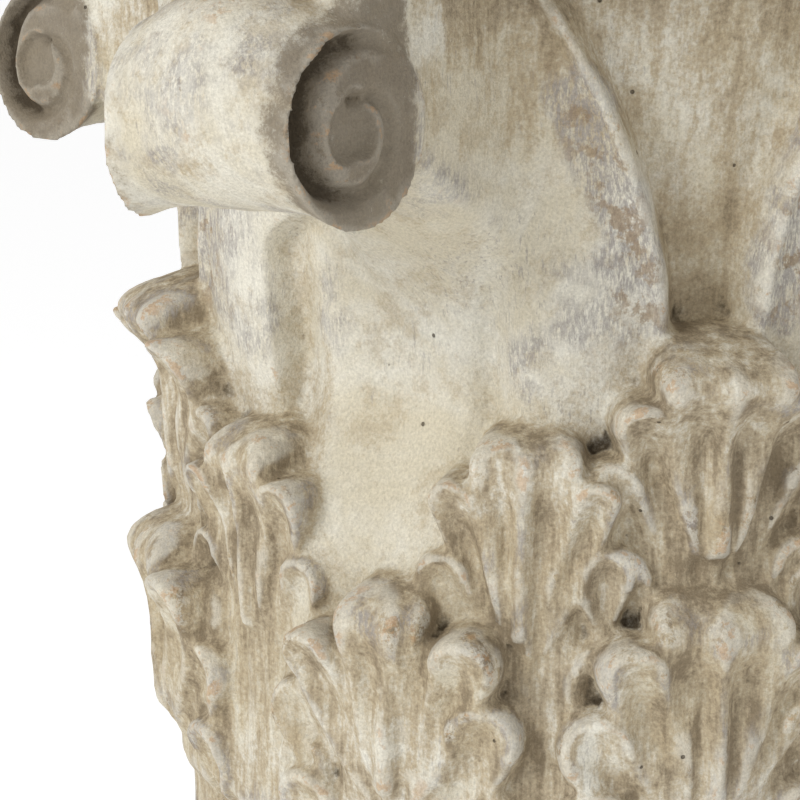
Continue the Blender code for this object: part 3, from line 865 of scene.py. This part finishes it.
def baseShape(angle, share):
    s = baseSet
    top, radius = baseHigh.z, s["topRadius"]
    beadTop = top - s["flare"]
    lowRadius = radius + s["flare"]
    filletTop = beadTop - 2 * s["upper"]
    filletLow = s["plinth"] + 2 * s["lower"] + s["fillet"] / 2
    profile = [(radius, top), (radius, beadTop)] + arcPoints(radius, beadTop - s["upper"], s["upper"], 90, -90)
    profile += [(radius, filletTop - s["fillet"] / 2)]
    for part in np.linspace(0.1, 0.9, 9):
        height = filletTop - s["fillet"] / 2 + (filletLow - filletTop + s["fillet"] / 2) * part
        profile += [(radius + s["flare"] * part - s["scotia"] * sin(pi * part), height)]
    profile += [(lowRadius, filletLow)]
    profile += arcPoints(lowRadius, s["plinth"] + s["lower"], s["lower"], 90, -80)
    profile += [(lowRadius, s["plinth"] - s["sunk"])]
    return alongProfile(profile, share)


def makeBase(material):
    print("base: mouldings and plinth")
    s = baseSet
    base = rolledGrid("base_stone", s["turns"], s["rows"], baseShape)
    bpy.ops.mesh.primitive_cube_add(size=1.0, location=(0.0, 0.0, s["plinth"] / 2 - s["sunk"] / 2))
    plinth = bpy.context.active_object
    plinth.scale = (s["width"], s["width"], s["plinth"] + s["sunk"])
    selectOnly(plinth)
    bpy.ops.object.transform_apply(location=True, rotation=False, scale=True)
    applyModifier(plinth, "BEVEL", width=s["edge"], segments=2)
    joinPieces(base, [plinth])
    applyModifier(base, "REMESH", mode="VOXEL", voxel_size=s["voxel"])
    wear(base, s["wear"])
    thin(base, s["triangles"])
    cutFlat(base, baseLow.z, False)
    cutFlat(base, baseHigh.z, True)
    shadeAttributes(base, s["rays"], {})
    finishPiece(base, "base", material)


# the room and the camera
studioSet = {"floor": 60.0, "paper": 0.95, "glow": 0.30, "room": 0.70, "aim": (0, 0, 0.72)}
# each lamp's place, size in metres and power
lampSet = {"key_lamp": ((-2.6, -1.3, 2.1), 1.1, 58.0), "fill_lamp": ((1.6, -2.6, 1.5), 2.0, 5.0)}


def studio():
    print("studio: floor and lamps")
    bpy.ops.mesh.primitive_plane_add(size=studioSet["floor"], location=(0, 0, 0))
    floor = bpy.context.active_object
    floor.name = "studio_floor"
    paper = bpy.data.materials.new("pale_paper")
    paper.use_nodes = True
    shader = paper.node_tree.nodes["Principled BSDF"]
    shader.inputs["Base Color"].default_value = (studioSet["paper"],) * 3 + (1.0,)
    shader.inputs["Roughness"].default_value = 0.9
    shader.inputs["Emission Color"].default_value = (1.0, 1.0, 1.0, 1.0)
    shader.inputs["Emission Strength"].default_value = studioSet["glow"]
    paper.cycles.emission_sampling = "NONE"
    floor.data.materials.append(paper)
    world = bpy.data.worlds.new("soft_room")
    bpy.context.scene.world = world
    world.use_nodes = True
    sky = world.node_tree.nodes["Background"]
    sky.inputs["Color"].default_value = (1.0, 1.0, 1.0, 1.0)
    sky.inputs["Strength"].default_value = studioSet["room"]
    for name, (spot, size, power) in lampSet.items():
        lamp = bpy.data.lights.new(name, "AREA")
        lamp.size, lamp.energy = size, power
        holder = bpy.data.objects.new(name, lamp)
        bpy.context.scene.collection.objects.link(holder)
        holder.location = spot
        aim = Vector(studioSet["aim"]) - Vector(spot)
        holder.rotation_euler = aim.to_track_quat("-Z", "Y").to_euler()
    bpy.context.scene.view_settings.view_transform = "Standard"


cameraSet = {"distance": 1.19, "side": 18.0, "heading": 14.4, "pitch": 10.8, "lens": 126.6}


# level with the capital's top, looking down at its corner
def addCamera():
    side, heading, pitch = (radians(cameraSet[k]) for k in ("side", "heading", "pitch"))
    lens = bpy.data.cameras.new("view")
    lens.lens = cameraSet["lens"]
    lens.sensor_width = 36.0
    camera = bpy.data.objects.new("view", lens)
    bpy.context.scene.collection.objects.link(camera)
    reach = cameraSet["distance"]
    camera.location = (-reach * sin(side), -reach * cos(side), capitalHigh.z)
    look = Vector((sin(heading) * cos(pitch), cos(heading) * cos(pitch), -sin(pitch)))
    camera.rotation_euler = look.to_track_quat("-Z", "Y").to_euler()
    bpy.context.scene.camera = camera


addCamera()
studio()
groups = {"wash_and_shade": shadeAndWashGroup(), "brush": brushGroup(), "skin": surfaceGroup()}
# the stone materials carry painted shade as well as their wash, dirt and wear
makeCapital(stoneMaterial("cast_stone_aged_and_shaded", groups, 1.0, 1.0))
makeShaft(stoneMaterial("shaft_stone_aged_and_shaded", groups, 0.9, 0.8))
makeBase(stoneMaterial("base_stone_aged_and_shaded", groups, 0.95, 0.5))
